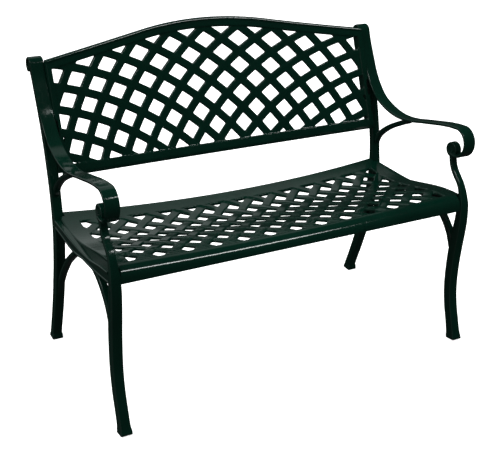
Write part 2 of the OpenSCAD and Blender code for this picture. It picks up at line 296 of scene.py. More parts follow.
SCROLL = (-213.4, 576.4)
SCROLL_R = 39
STRAP_T = 7                    # thickness of the armrest bar
CURL_FROM, CURL_TO = -66, 168                  # turn of the strap over the post, degrees
SCROLL_FROM, SCROLL_TO = 92, 293               # turn of the scroll at its front end
STRAP_W = strap_hi - strap_lo
RUN = [(251.7, 777.5), (244.3, 757.5), (224, 713.5), (204.5, 674), (177, 637), (146, 610),
       (103.5, 591.5), (62, 582), (22, 580), (-18, 584), (-64, 593), (-107, 601), (-150, 609),
       (-187, 613.8)]
ARM_BRACE = [(162, 475, 17), (147, 497, 15), (116, 522, 14), (84, 541, 14), (44, 560, 14),
             (10, 574, 14)]
REAR_BRACE = [(203.5, 168.5, 15), (198.5, 178.5, 15), (174.5, 216, 15), (149, 251.5, 15),
              (122, 281.5, 15), (95.5, 308, 15), (58.5, 336.5, 15), (20.5, 363, 15)]
FRONT_BRACE = [(-224.5, 271.5, 19), (-220.8, 284, 21), (-209.2, 309, 20), (-192.5, 331, 18),
               (-172.5, 351, 18), (-148.5, 368, 17), (-121, 380, 15), (-101, 384, 12)]
RAIL_TOP = [(166, 404), (88, 400), (33, 397.3), (-43, 396.6), (-116, 402), (-187, 414.5),
            (-248, 422)]
RAIL_LOW = [(166, 380), (100, 375), (62, 371), (30, 369), (0, 369.5), (-30, 373), (-60, 378),
            (-100, 379), (-150, 381.5), (-200, 387), (-248, 392)]


def at(line, y):
    """Height of a side-view line at y."""
    p = np.array(sorted((q[0], q[1]) for q in smooth(line)))
    return float(np.interp(y, p[:, 0], p[:, 1]))


# ---- materials --------------------------------------------------------------
def new_material(name):
    """A material, its node tree and its shader."""
    mat = bpy.data.materials.new(name)
    mat.use_nodes = True
    return mat, mat.node_tree, mat.node_tree.nodes["Principled BSDF"]


def noise(nt, scale, detail=2.0, vector=None):
    """Noise from 0 to 1, over the whole piece."""
    n = nt.nodes.new("ShaderNodeTexNoise")
    n.inputs["Scale"].default_value = scale
    n.inputs["Detail"].default_value = detail
    if vector:
        nt.links.new(vector, n.inputs["Vector"])
    return n.outputs["Fac"]


def ramp(nt, fac, lo, hi, at_lo, at_hi):
    """A value that goes from at_lo to at_hi as fac goes from lo to hi."""
    r = nt.nodes.new("ShaderNodeMapRange")
    r.inputs["From Min"].default_value = lo
    r.inputs["From Max"].default_value = hi
    r.inputs["To Min"].default_value = at_lo
    r.inputs["To Max"].default_value = at_hi
    nt.links.new(fac, r.inputs["Value"])
    return r.outputs["Result"]


def bump(nt, height, strength, distance, normal=None):
    """A normal tilted by a height, on top of another normal."""
    b = nt.nodes.new("ShaderNodeBump")
    b.inputs["Strength"].default_value = strength
    b.inputs["Distance"].default_value = distance
    nt.links.new(height, b.inputs["Height"])
    if normal:
        nt.links.new(normal, b.inputs["Normal"])
    return b.outputs["Normal"]


def powder_coat(name, base, deep):
    """Gloss powder coat over sand-cast aluminium: orange peel, cast unevenness and a slight
    change of tone."""
    mat, nt, bsdf = new_material(name)
    bsdf.inputs["Metallic"].default_value = 0.0
    bsdf.inputs["IOR"].default_value = 1.52
    place = nt.nodes.new("ShaderNodeTexCoord").outputs["Object"]
    mix = nt.nodes.new("ShaderNodeMix")
    mix.data_type = "RGBA"
    mix.inputs["A"].default_value = (*deep, 1)
    mix.inputs["B"].default_value = (*base, 1)
    tone = noise(nt, scale=9, detail=3, vector=place)
    nt.links.new(ramp(nt, tone, lo=0.3, hi=0.7, at_lo=0.0, at_hi=1.0), mix.inputs["Factor"])
    nt.links.new(mix.outputs["Result"], bsdf.inputs["Base Color"])
    dull = noise(nt, scale=60, detail=4, vector=place)
    nt.links.new(ramp(nt, dull, lo=0.3, hi=0.7, at_lo=0.08, at_hi=0.13), bsdf.inputs["Roughness"])
    fine = noise(nt, scale=420, vector=place)
    peel = bump(nt, fine, strength=0.12, distance=0.0004)
    coarse = noise(nt, scale=55, vector=place)
    cast = bump(nt, coarse, strength=0.16, distance=0.0015, normal=peel)
    nt.links.new(cast, bsdf.inputs["Normal"])
    return mat


def bolt_steel():
    """Zinc-plated steel, in places duller than in others."""
    mat, nt, bsdf = new_material("bolt steel")
    bsdf.inputs["Metallic"].default_value = 1.0
    bsdf.inputs["Base Color"].default_value = (0.5, 0.52, 0.53, 1)
    dull = noise(nt, scale=260)
    nt.links.new(ramp(nt, dull, lo=0.0, hi=1.0, at_lo=0.25, at_hi=0.5), bsdf.inputs["Roughness"])
    return mat


# ---- lattice castings -------------------------------------------------------
RIM = 2.2                      # rounding of the top edges of the lattice bars
RINGS = (0.0, 0.3, 0.8, 1.4, RIM + 0.1)        # distances of the rows of points along an edge
FAR = 99.0                     # distance given to points away from every edge
HOLE_STEP = 1.9                # spacing of the points round a hole
EDGE_GAP = 4                   # further points stay this far from a casting's outline
STEP_W = 1.6                   # width of the step from a lattice to its plain border
STEP_ROWS = (0.15, -0.5, -1.1, -STEP_W, -STEP_W - 1.2)   # rows of points along that step
STEP_GAP = 4.0                 # spacing of the points in those rows
LATTICE_IN = 1.5               # how far inside the step the lattice's points begin
BORDER_GAP = 6.5               # spacing of the points on a plain border


def loop_normals(p):
    """Outward normals of a counter-clockwise loop."""
    t = np.roll(p, -1, axis=0) - np.roll(p, 1, axis=0)
    t /= np.hypot(t[:, 0], t[:, 1])[:, None]
    return np.stack([t[:, 1], -t[:, 0]], 1)


def ring_points(outline, holes):
    """Every loop, repeated at each distance in RINGS from its edge: the points, their distance,
    the loop each edge point is on, and each loop's edge as (first point, number of points)."""
    pts, dist, on_loop, starts = [], [], [], []
    for number, (loop, sign) in enumerate([(outline, -1)] + [(h, 1) for h in holes]):
        outward = loop_normals(loop)
        for d in RINGS:
            if d == 0:
                starts.append((len(pts), len(loop)))
            pts += (loop + outward * d * sign).tolist()
            dist += [d] * len(loop)
            on_loop += [number if d == 0 else -1] * len(loop)
    return pts, dist, on_loop, starts


def spaced(samples, pts, gap=1.3):
    """The samples that aren't too near the points."""
    tree = kdtree.KDTree(len(pts))
    for i, p in enumerate(pts):
        tree.insert((p[0], p[1], 0), i)
    tree.balance()
    return [(float(x), float(y)) for x, y in samples if tree.find((x, y, 0))[2] > gap]


def fall(dist, r):
    """How far a surface with a rounded edge of radius r is down at each distance from it."""
    curve = r - np.sqrt(np.maximum(r * r - (r - np.minimum(dist, r)) ** 2, 0))
    return np.where(dist < r, curve, 0)


def plate_faces(tris, xy, on_loop, starts, ids):
    """The top, the underside (points n later) and the walls of the edges of a plate."""
    n = len(xy)
    faces = []
    for a, b, c in tris:
        if on_loop[a] >= 0 and on_loop[a] == on_loop[b] == on_loop[c]:
            continue
        (x0, y0), (x1, y1), (x2, y2) = xy[a], xy[b], xy[c]
        if (x1 - x0) * (y2 - y0) - (x2 - x0) * (y1 - y0) < 0:
            a, b, c = a, c, b
        faces += [(a, b, c), (a + n, c + n, b + n)]
    where = {i: k for k, i in enumerate(ids) if i >= 0}
    for number, (first, count) in enumerate(starts):
        for k in range(count):
            a, b = where.get(first + k), where.get(first + (k + 1) % count)
            if a is not None and b is not None and a != b:
                faces.append((a, b, b + n, a + n) if number else (b, a, a + n, b + n))
    return faces


def plate(outline, holes, samples, relief, place, thick, under=1.6):
    """A cast plate. outline and holes are counter-clockwise loops in its own plane, samples
    are further points on it, relief(x, y) is its top's height and place(x, y, t) puts a point
    at height t on the bench."""
    pts, dist, on_loop, starts = ring_points(outline, holes)
    edges = [(first + k, first + (k + 1) % count) for first, count in starts for k in range(count)]
    extra = spaced(samples, pts)
    pts += extra
    dist += [FAR] * len(extra)
    on_loop += [-1] * len(extra)
    vs, _, tris, orig, _, _ = geometry.delaunay_2d_cdt([Vector(p) for p in pts], edges, [], 0, 1e-5)
    ids = [o[0] if o else -1 for o in orig]
    on_loop = np.array([on_loop[i] if i >= 0 else -1 for i in ids])
    dist = np.array([dist[i] if i >= 0 else FAR for i in ids])
    xy = np.array([(v[0], v[1]) for v in vs])
    top = np.array([relief(x, y) for x, y in xy]) - fall(dist, RIM)
    low = fall(dist, under) - thick
    verts = [place(x, y, t) for heights in (top, low) for (x, y), t in zip(xy, heights)]
    faces = plate_faces(tris, xy, on_loop, starts, ids)
    used = sorted({i for f in faces for i in f})
    number = {i: k for k, i in enumerate(used)}
    return [verts[i] for i in used], [tuple(number[i] for i in f) for f in faces]


class Lattice:
    """Two crossing families of bars. to_xy turns bar numbers (a, b) into a place, and of_xy
    does the reverse; a whole number is a bar's centre line."""

    def __init__(self, to_xy, of_xy, pitch, bar, weave, crown):
        self.to_xy, self.of_xy, self.pitch, self.bar = to_xy, of_xy, pitch, bar
        self.weave, self.crown = weave, crown

    def height(self, x, y):
        """The woven top: one family passes over the other and then under it."""
        a, b = self.of_xy(x, y)
        i, j = round(a), round(b)
        half = self.bar / 2
        da, db = abs(a - i) * self.pitch, abs(b - j) * self.pitch
        ha = self.weave * math.cos(math.pi * (b + i)) - self.crown * min(da / half, 1.2) ** 2
        hb = -self.weave * math.cos(math.pi * (a + j)) - self.crown * min(db / half, 1.2) ** 2
        if da < half and db < half:
            return ha if (i + j) % 2 == 0 else hb
        return ha if da < db else hb

    def holes(self, ia, ib, window, radius, least):
        """Rounded holes between the bars, clipped to the window."""
        e = self.bar / 2 / self.pitch
        out = []
        for i in ia:
            for j in ib:
                a0, a1, b0, b1 = i + e, i + 1 - e, j + e, j + 1 - e
                corners = ((a0, b0), (a1, b0), (a1, b1), (a0, b1))
                ring = [between(corners[c], corners[(c + 1) % 4], k / 8)
                        for c in range(4) for k in range(8)]
                loop = [self.to_xy(a, b) for a, b in ring]
                if any(p is None for p in loop):
                    continue
                loop = clip(loop if area(loop) > 0 else loop[::-1], window)
                if len(loop) >= 3 and area(loop) >= least:
                    out.append(rounded(loop, radius, HOLE_STEP))
        return out

    def samples(self, ia, ib, inside):
        """Points lined up with the bars, closest together where one bar passes over another."""
        half = self.bar / 2
        across = [-half - 0.7, -half + 0.7, -half * 0.62, -half * 0.3, 0,
                  half * 0.3, half * 0.62, half - 0.7, half + 0.7]
        gap = self.pitch - self.bar
        n = 4
        along = [half + gap * (k + 1) / (n + 1) for k in range(n)]
        steps = [u / self.pitch for u in across + along]
        out = []
        for i in ia:
            for j in ib:
                for p in steps:
                    for q in steps:
                        if p * self.pitch > half and q * self.pitch > half:
                            continue
                        xy = self.to_xy(i + p, j + q)
                        if xy is not None and inside(*xy):
                            out.append(xy)
        return out


def step_in(d, width):
    """0 outside, 1 once d is more than width inside, smoothly."""
    t = min(max(d / width, 0), 1)
    return t * t * (3 - 2 * t)


def grid(x0, x1, y0, y1, step, inside):
    """The points of a staggered grid that are inside."""
    out = []
    rows = int((y1 - y0) / step) + 1
    for r in range(rows + 1):
        y = y0 + r * step
        x = x0 + (r % 2) * step / 2
        while x <= x1:
            if inside(x, y):
                out.append((x, y))
            x += step
    return out


# ---- seat -------------------------------------------------------------------
SEAT_T = 8.0                   # thickness of the sheet
SEAT_LOW = 388.3               # lowest line of its top
SEAT_RISE = 33.2               # rise from there to the crest
HOLLOW_Y, CREST_Y = 50.0, -215.0
LIP_R = 30.0                   # radius of the rolled front edge
LIP_Y = SEAT_FRONT_Y + LIP_R   # where the roll begins
LIP_END_Z = 391.5              # height where it stops
DISH_R = 11000.0               # radius of the dish from side to side
SEAT_X = in_x + 12             # half width of the ends that rest on the rails
REAR_Y, REAR_R = 147.0, 5700.0 # rear edge at the middle, and its radius
NOTCH_F, NOTCH_R = -234.0, 149.0               # front and rear of the ends on the rails
SEAT_BORDER = 46.0             # width of the rear border
HOLE_FRONT = -222.0            # front of the lattice
HOLE_X = SEAT_X - 44           # half width of the lattice
ROW_Y = 104.9                  # middle of a hole on the middle line
PITCH_X, PITCH_Y = 75.2, 77.3  # spacing of the holes, across and along
SEAT_BAR = 24.0                # width of a bar
SEAT_DROP = 1.0                # the lattice lies this far below its border
SEAT_WEAVE, SEAT_CROWN = 1.0, 0.5              # how far the bars rise and fall, and are rounded
SEAT_ANGLE = math.atan(PITCH_Y / PITCH_X)
SEAT_PITCH = 1 / math.hypot(1 / PITCH_X, 1 / PITCH_Y)
SEAT_GRID_Y = (-300, 190)      # from past the lip's end to past the rear edge
LEAST_SEAT_HOLE = 110          # a smaller hole at the border is left filled
REAR_RISE, REAR_RUN = 12.0, 95.0               # rise behind the hollow, over this run
SKIRT_W, SKIRT_TOP, SKIRT_SUNK = 20.0, 7.0, 4


def seat_z(y):
    """Height of the seat's top along its middle: a hollow that rises to the back, and in a
    half wave to the crest at the front."""
    if y > HOLLOW_Y:
        return SEAT_LOW + REAR_RISE * ((y - HOLLOW_Y) / REAR_RUN) ** 2
    turn = math.pi * (HOLLOW_Y - max(y, CREST_Y)) / (HOLLOW_Y - CREST_Y)
    return SEAT_LOW + SEAT_RISE / 2 * (1 - math.cos(turn))


def seat_slope(y):
    """Rise of the seat's middle line for each millimetre back."""
    return seat_z(y + 0.5) - seat_z(y - 0.5)


def seat_place(x, v, t):
    """A point t above the seat's top. Past the lip line, v is measured round the roll."""
    if v >= LIP_Y:
        y, z, g = v, seat_z(v), seat_slope(v)
        ny, nz = -g / math.hypot(1, g), 1 / math.hypot(1, g)
    else:
        s = (LIP_Y - v) / LIP_R
        if s <= math.pi / 2:
            ny, nz = -math.sin(s), math.cos(s)
            y, z = LIP_Y + LIP_R * ny, SEAT_LOW + SEAT_RISE - LIP_R + LIP_R * nz
        else:
            ny, nz = -1.0, 0.0
            y, z = LIP_Y - LIP_R, SEAT_LOW + SEAT_RISE - LIP_R - (s - math.pi / 2) * LIP_R
    y, z = y + ny * t, z + nz * t
    return (x * (1 - (z - SEAT_LOW) / DISH_R), y, z + x * x / (2 * DISH_R))


def lip_end(x):
    """Where the rolled front edge stops, measured round the roll."""
    drop = LIP_END_Z - SEAT_LOW - SEAT_RISE + LIP_R
    return LIP_Y - (math.pi / 2 * LIP_R + x * x / (2 * DISH_R) - drop)


def rear_edge(x, border=0.0):
    """The bowed rear edge, or the line a border's width in from it."""
    return REAR_Y - border + x * x / (2 * REAR_R)


def seat_to_xy(a, b):
    """The place of bar numbers a and b on the seat."""
    qa, qb = (a + 0.5) * SEAT_PITCH, (b + 0.5) * SEAT_PITCH
    return ((qb - qa) / (2 * math.sin(SEAT_ANGLE)), ROW_Y + (qa + qb) / (2 * math.cos(SEAT_ANGLE)))


def seat_of_xy(x, y):
    """The bar numbers of a place on the seat."""
    along, across = (y - ROW_Y) * math.cos(SEAT_ANGLE), x * math.sin(SEAT_ANGLE)
    return (along - across) / SEAT_PITCH - 0.5, (along + across) / SEAT_PITCH - 0.5


seat_lattice = Lattice(seat_to_xy, seat_of_xy, SEAT_PITCH, SEAT_BAR, SEAT_WEAVE, SEAT_CROWN)


def seat_depth(x, y):
    """How far a point is inside the lattice, negative on the borders."""
    return min(HOLE_X - abs(x), y - HOLE_FRONT, rear_edge(x, SEAT_BORDER) - y)


def seat_relief(x, y):
    """The weave, and a step up to the plain borders."""
    k = step_in(seat_depth(x, y) + STEP_W, STEP_W)
    return k * (seat_lattice.height(x, y) - SEAT_DROP)


def on_seat(x, y):
    """Whether a point is well inside the seat's outline."""
    if y > rear_edge(x) - EDGE_GAP:
        return False
    if abs(x) > in_x - EDGE_GAP:
        return abs(x) < SEAT_X - EDGE_GAP and NOTCH_F + EDGE_GAP < y < NOTCH_R - EDGE_GAP
    return y > lip_end(x) + EDGE_GAP


def seat_holes():
    """The holes between the bars. The rear border bows forward, so no convex window fits it,
    and each hole is clipped by the border's tangent at its own place across the seat."""
    e = SEAT_BAR / 2 / SEAT_PITCH
    holes = []
    for i in range(-15, 15):
        for j in range(-15, 15):
            cx = seat_to_xy(i + 0.5, j + 0.5)[0]
            edge, slope = rear_edge(cx, SEAT_BORDER), cx / REAR_R
            window = [(-HOLE_X, HOLE_FRONT), (HOLE_X, HOLE_FRONT),
                      (HOLE_X, edge + slope * (HOLE_X - cx)), (-HOLE_X, edge + slope * (-HOLE_X - cx))]
            cell = ((i + e, j + e), (i + 1 - e, j + e), (i + 1 - e, j + 1 - e), (i + e, j + 1 - e))
            loop = [seat_to_xy(*corner) for corner in cell]
            loop = clip(loop if area(loop) > 0 else loop[::-1], window)
            if len(loop) >= 3 and area(loop) > LEAST_SEAT_HOLE:
                holes.append(rounded(loop, 3.2, HOLE_STEP))
    return holes


def seat_outline():
    """The lip, the two ends that rest on the rails, and the rear edge."""
    front = [(x, lip_end(x)) for x in np.linspace(-in_x, in_x, 61)]
    rear = [(x, rear_edge(x)) for x in np.linspace(in_x, -in_x, 61)]
    right = [(in_x, NOTCH_F), (SEAT_X, NOTCH_F), (SEAT_X, NOTCH_R), (in_x, NOTCH_R)]
    left = [(-x, y) for x, y in reversed(right)]
    return rounded(front + right + rear + left, 2.0, 3.0)


def seat_samples():
    """Points along the bars, over the borders, and in rows along the step between them."""
    bars = range(-13, 13)
    samples = seat_lattice.samples(bars, bars,
                                   lambda x, y: seat_depth(x, y) > LATTICE_IN and on_seat(x, y))
    samples += grid(-SEAT_X, SEAT_X, *SEAT_GRID_Y, BORDER_GAP,
                    lambda x, y: seat_depth(x, y) < -EDGE_GAP and on_seat(x, y))
    for d in STEP_ROWS:
        across = np.arange(d - HOLE_X, HOLE_X - d, STEP_GAP)
        along = np.arange(HOLE_FRONT + d, rear_edge(HOLE_X, SEAT_BORDER) - d, STEP_GAP)
        samples += [(x, HOLE_FRONT + d) for x in across]
        samples += [(x, rear_edge(x, SEAT_BORDER) - d) for x in across]
        samples += [(e * (HOLE_X - d), y) for e in (-1, 1) for y in along]
    return samples


def seat_skirt():
    """The upright edge under one end of the seat, from inside the sheet into the rail."""
    line = []
    for y in np.linspace(NOTCH_F + 2, NOTCH_R - 2, 60):
        hi, lo = seat_z(y) + SKIRT_TOP, at(RAIL_TOP, y) - SKIRT_SUNK
        line.append((y, (hi + lo) / 2, hi - lo, SKIRT_W))
    return sweep(line, SEAT_X - 11.5, 1.0)


def seat_panel(mat):
    """The dished, woven seat casting."""
    sheet = plate(seat_outline(), seat_holes(), seat_samples(), seat_relief, seat_place, SEAT_T)
    skirts = [mirrored(seat_skirt(), side) for side in (1, -1)]
    return make("seat_casting", *join([sheet] + skirts), mat, "seat_panel")


# ---- back -------------------------------------------------------------------
BACK_LEAN, BACK_R = 19.0, 1854.0               # lean in degrees, and radius of the curve
BACK_Y, BACK_Z = 260.4, 638.6  # the point of the back where x and s are 0
BACK_BOTTOM, BACK_TOP = -149.0, 231.2          # edges, along s
CROWN_R, FLANK = 930.0, math.radians(11.75)    # top edge: its arc, and its ends' slope
RAIL_LOW_H, RAIL_TOP_H = 30.0, 28.0            # widths of the rails
STILE_W, STILE_FRONT, STILE_BACK = 22.0, 6.0, 24.0# width, and reach to front and rear
BACK_T, FRAME_T = 7.0, 12.0    # twice the height of the lattice's and frame's front
BEAD_H, BEAD_T = 11.0, 18.0    # width of the bead, and twice its height
BEVEL, BEVEL_RISE = (4.3, 6.9), 0.38           # bevel along the bead, from and to, and its rise
BEAD_EDGE_DROP = 4.0                           # fall from the bevel to the top edge
BEAD_ROWS = (2.9, 3.7, 4.3, 4.8, 6.4, 6.9, 7.8, 9.0, 10.0, 11.1, 12.4)   # rows of points on it
LOW_BEVEL, LOW_SLOPE = 9.0, 0.55               # bevel along the bottom rail, and its slope
LOW_ROWS = (3.5, 6, LOW_BEVEL - 0.5, LOW_BEVEL + 0.5)
RAIL_GAP = 5.0                                 # spacing of the points in the rows on the rails
RELIEF_X, RELIEF_S = 478.0, (-48.0, -4.0)      # inner edge and span of the slot at the armrest
ARC_X, ARC_S, ARC_R = 570.0, -620.4, 822.2       # centre and radius of the middle arched bar
BACK_PITCH = 60.6
SHIFT_X, SHIFT_S = 0.324 * BACK_PITCH, 0.405 * BACK_PITCH    # the next bar's centre moves so far
GROW = 0.482 * BACK_PITCH                                  # and its radius grows by this
BACK_BAR = 22.3                # width of a bar
BACK_WEAVE, BACK_CROWN = 0.25, 0.35            # as for the seat
BACK_BARS = range(-10, 12)
LEAST_BACK_HOLE = 50           # a smaller one is left filled
TURN = math.radians(90 - BACK_LEAN)
window_x = in_x - STILE_W                      # half width of the back's lattice
window_low = BACK_BOTTOM + RAIL_LOW_H          # and its bottom


def back_place(x, s, t):
    """A point t in front of the curved back's middle surface."""
    sag = BACK_R - math.sqrt(BACK_R ** 2 - x * x)
    nx, nz = -x / BACK_R, math.sqrt(1 - (x / BACK_R) ** 2)
    lx, lz = x + nx * t, sag + nz * t
    return (lx, BACK_Y + s * math.cos(TURN) - lz * math.sin(TURN),
            BACK_Z + s * math.sin(TURN) + lz * math.cos(TURN))


def top_edge(x, drop=0.0):
    """Height of the back's top edge in its own plane."""
    tan_x = CROWN_R * math.sin(FLANK)
    if abs(x) < tan_x:
        return BACK_TOP - CROWN_R + math.sqrt(CROWN_R ** 2 - x * x) - drop
    return BACK_TOP - CROWN_R * (1 - math.cos(FLANK)) - (abs(x) - tan_x) * math.tan(FLANK) - drop


def bead_top(d):
    """Height of the bead above the middle surface, d down from the top edge: a rounded edge,
    a narrow bevel, and a short drop to the rail."""
    r = BEAD_T / 2
    if d < BEVEL[0]:
        return r - BEVEL_RISE - BEAD_EDGE_DROP * (1 - d / BEVEL[0]) ** 2
    if d < BEVEL[1]:
        return r - BEVEL_RISE * (BEVEL[1] - d) / (BEVEL[1] - BEVEL[0])
    return r - (r - FRAME_T / 2) * step_in(d - BEVEL[1], BEAD_H - BEVEL[1])


def back_to_xy(a, b):
    """Where arc a of one family crosses arc b of the other, or None."""
    xa, sa, ra = SHIFT_X * a - ARC_X, ARC_S + SHIFT_S * a, ARC_R + GROW * a
    xb, sb, rb = ARC_X - SHIFT_X * b, ARC_S + SHIFT_S * b, ARC_R + GROW * b
    dx, ds = xb - xa, sb - sa
    d = math.hypot(dx, ds)
    t = (ra * ra - rb * rb + d * d) / (2 * d)
    if abs(t) >= ra:
        return None
    h = math.sqrt(ra * ra - t * t)
    return (xa + (t * dx - h * ds) / d, sa + (t * ds + h * dx) / d)


def arc_number(x, s):
    """The number of the first family's arc that passes through a point."""
    k = SHIFT_X ** 2 + SHIFT_S ** 2 - GROW ** 2
    half_b = (x + ARC_X) * SHIFT_X + (s - ARC_S) * SHIFT_S + ARC_R * GROW
    c = (x + ARC_X) ** 2 + (s - ARC_S) ** 2 - ARC_R ** 2
    return c / (half_b + math.sqrt(half_b ** 2 - k * c))


def back_of_xy(x, s):
    """The arcs of both families through a point. The second family mirrors the first."""
    return arc_number(x, s), arc_number(-x, s)


back_lattice = Lattice(back_to_xy, back_of_xy, BACK_PITCH, BACK_BAR, BACK_WEAVE, BACK_CROWN)


def back_depth(x, s):
    """How far a point is inside the lattice, negative on the rails and stiles."""
    return min(window_x - abs(x), s - window_low, top_edge(x, RAIL_TOP_H) - s)


def back_relief(x, s):
    """The weave, and the bead and the bevel of the rails round it."""
    k = step_in(back_depth(x, s) + STEP_W, STEP_W)
    from_top, from_bottom = top_edge(x) - s, s - BACK_BOTTOM
    flat = (FRAME_T - BACK_T) / 2
    if from_top < BEAD_H:
        flat = bead_top(max(from_top, 0.0)) - BACK_T / 2
    if from_bottom < LOW_BEVEL:
        flat -= LOW_SLOPE * (LOW_BEVEL - from_bottom)
    return BACK_T / 2 + k * back_lattice.height(x, s) + (1 - k) * flat


def on_back(x, s):
    """Whether a point is well inside the back's outline."""
    if abs(x) > RELIEF_X - EDGE_GAP and RELIEF_S[0] - EDGE_GAP < s < RELIEF_S[1] + EDGE_GAP:
        return False
    return abs(x) < strap_lo - EDGE_GAP and BACK_BOTTOM + EDGE_GAP < s < top_edge(x) - EDGE_GAP


def on_rail(x, s):
    """Whether a point is on a rail or a stile, away from the bead, the bevel and the step."""
    clear = BACK_BOTTOM + 12 < s < top_edge(x) - 14
    return back_depth(x, s) < -5 and clear and on_back(x, s)


def back_outline():
    """The back's edge, with a slot at each side that clears the armrest."""
    low = [(-strap_lo, BACK_BOTTOM), (strap_lo, BACK_BOTTOM)]
    slot = [(strap_lo, RELIEF_S[0]), (RELIEF_X, RELIEF_S[0]), (RELIEF_X, RELIEF_S[1]),
            (strap_lo, RELIEF_S[1])]
    top = [(x, top_edge(x)) for x in np.linspace(strap_lo, -strap_lo, 121)]
    return rounded(low + slot + top + [(-x, s) for x, s in reversed(slot)], 3.0, 3.0)


def back_samples():
    """Points along the bars, over the frame, and in rows along its bead, bevel and step."""
    samples = back_lattice.samples(BACK_BARS, BACK_BARS,
                                   lambda x, s: back_depth(x, s) > LATTICE_IN and on_back(x, s))
    samples += grid(-strap_lo, strap_lo, BACK_BOTTOM, BACK_TOP, BORDER_GAP, on_rail)
    rail = np.arange(-strap_lo + RAIL_GAP, strap_lo - EDGE_GAP, RAIL_GAP)
    samples += [(x, top_edge(x) - d) for d in BEAD_ROWS for x in rail]
    samples += [(x, BACK_BOTTOM + d) for d in LOW_ROWS for x in rail]
    for d in STEP_ROWS:
        across = np.arange(-window_x - d, window_x + d, STEP_GAP)
        along = np.arange(window_low + d, top_edge(window_x, RAIL_TOP_H) - d, STEP_GAP)
        samples += [(x, window_low + d) for x in across]
        samples += [(x, top_edge(x, RAIL_TOP_H) - d) for x in across]
        samples += [(e * (window_x - d), s) for e in (-1, 1) for s in along]
    return samples


def back_panel(mat):
    """The curved, woven back casting."""
    top = [(x, top_edge(x, RAIL_TOP_H)) for x in np.linspace(window_x, -window_x, 81)]
    window = [(-window_x, window_low), (window_x, window_low)] + top
    holes = back_lattice.holes(BACK_BARS, BACK_BARS, window, 2.8, LEAST_BACK_HOLE)
    thick = BACK_T / 2 + (FRAME_T - BACK_T) / 2
    sheet = plate(back_outline(), holes, back_samples(), back_relief, back_place, thick, 2.0)
    return make("back_casting", *join([sheet] + back_stiles()), mat, "back_panel")


def back_stiles():
    """The deep end members of the back, which meet the posts' inner faces behind the strap
    and leave a gap beside it."""
    mid_x = in_x - STILE_W / 2
    sag = mid_x ** 2 / (2 * BACK_R)
    top = top_edge(mid_x)

    def member(s0, s1, x0, x1, front, edge):
        t = sag + (front - STILE_BACK) / 2
        line = [(BACK_Y + s * math.cos(TURN) - t * math.sin(TURN),
                 BACK_Z + s * math.sin(TURN) + t * math.cos(TURN),
                 front + STILE_BACK, x1 - x0) for s in np.linspace(s0, s1, 30)]
        return sweep(line, (x0 + x1) / 2, edge, ends=(1.0, 1.0))

    web = member(BACK_BOTTOM + 1, top - 2, in_x - STILE_W, RELIEF_X, STILE_FRONT - 4, 2.5)
    low = member(BACK_BOTTOM + 12, RELIEF_S[0], RELIEF_X - 2, in_x, -11.0, 1.5)
    high = member(RELIEF_S[1], top - 6, RELIEF_X - 2, in_x, -11.0, 1.5)
    return [mirrored(part, side) for part in (web, low, high) for side in (1, -1)]


# ---- side frames ------------------------------------------------------------
def fade(z, lo, hi, run=14.0):
    """1 between two heights and 0 outside, with a smooth run."""
    return step_in(z - lo, run) * step_in(hi - z, run)


CORNER = 3.2                   # rounding of a leg's corners
SUNK = 2.4                     # how deep a leg's outer face is sunk
SUNK_FROM = 30                 # height above which it is


def leg(line, sunk_to):
    """A leg without the span of its line that is below the floor."""
    return sweep(smooth(line)[SPAN_STEPS:], side_x, CORNER,
                 lambda z: SUNK * fade(z, SUNK_FROM, sunk_to), cut_floor=True)


def arm_strap():
    """The armrest's flat bar: the curl over the post, the run and the scroll."""
    line = (arc(POST_TOP, POST_TOP_R + STRAP_T / 2, CURL_FROM, CURL_TO, 26)
            + [tuple(p) for p in smooth(RUN, 5)]
            + arc(SCROLL, SCROLL_R, SCROLL_FROM, SCROLL_TO, 36))
    line = [(p[0], p[1], STRAP_T, STRAP_W) for p in line]
    return sweep(line, (strap_lo + strap_hi) / 2, 2.6, ends=(1.5, 2.0))


def seat_rail():
    """The rail between the legs, its outer face sunk all along."""
    line = []
    for y in np.linspace(NOTCH_R + 8, NOTCH_F - 6, 70):
        hi, lo = at(RAIL_TOP, y), at(RAIL_LOW, y)
        line.append((y, (hi + lo) / 2, hi - lo, cast_w))
    return sweep(line, side_x, 2.8, lambda z: 2.2)


def side_frame(side, paint):
    """The pieces of one side frame, the left one for side -1 and the right one for 1."""
    tag = "right" if side > 0 else "left"

    def piece(node, kind, *parts):
        verts, faces = join([mirrored(part, side) for part in parts])
        make(f"{tag}_{node}_{kind}", verts, faces, paint, f"{tag}_{node}")

    piece("rear_leg", "casting", leg(REAR, 375), disc(POST_TOP, POST_TOP_R, cast_w / 2, side_x, 2.5))
    piece("front_leg", "casting", leg(FRONT, 385), disc(ROLL, ROLL_R, NECK_W / 2, side_x, 2.5, 4.5))
    piece("arm_strap", "bar", arm_strap())
    for what, line in (("arm", ARM_BRACE), ("rear", REAR_BRACE), ("front", FRONT_BRACE)):
        piece(f"{what}_brace", "bar", sweep(with_width(smooth(line), brace_w), side_x, 4.5))
    piece("seat_rail", "casting", seat_rail())


# ---- stage ------------------------------------------------------------------
def look_from(az, el, roll, pos, lens):
    """The photograph's viewpoint."""
    a, e, r = (math.radians(v) for v in (az, el, roll))
    back = Vector((math.sin(a) * math.cos(e), -math.cos(a) * math.cos(e), math.sin(e)))
    right = (-back).cross(Vector((0, 0, 1))).normalized()
    up = right.cross(-back)
    right2 = math.cos(r) * right + math.sin(r) * up
    up2 = -math.sin(r) * right + math.cos(r) * up
    cam = bpy.data.objects.new("camera", bpy.data.cameras.new("camera"))
    m = Matrix((right2, up2, back)).transposed().to_4x4()
    m.translation = Vector(pos) + Vector((0, shift_y * MM, 0))
    cam.matrix_world = m
    cam.data.sensor_width = 36
    cam.data.lens = lens
    cam.data.clip_end = 60
    bpy.context.scene.collection.objects.link(cam)
    bpy.context.scene.camera = cam


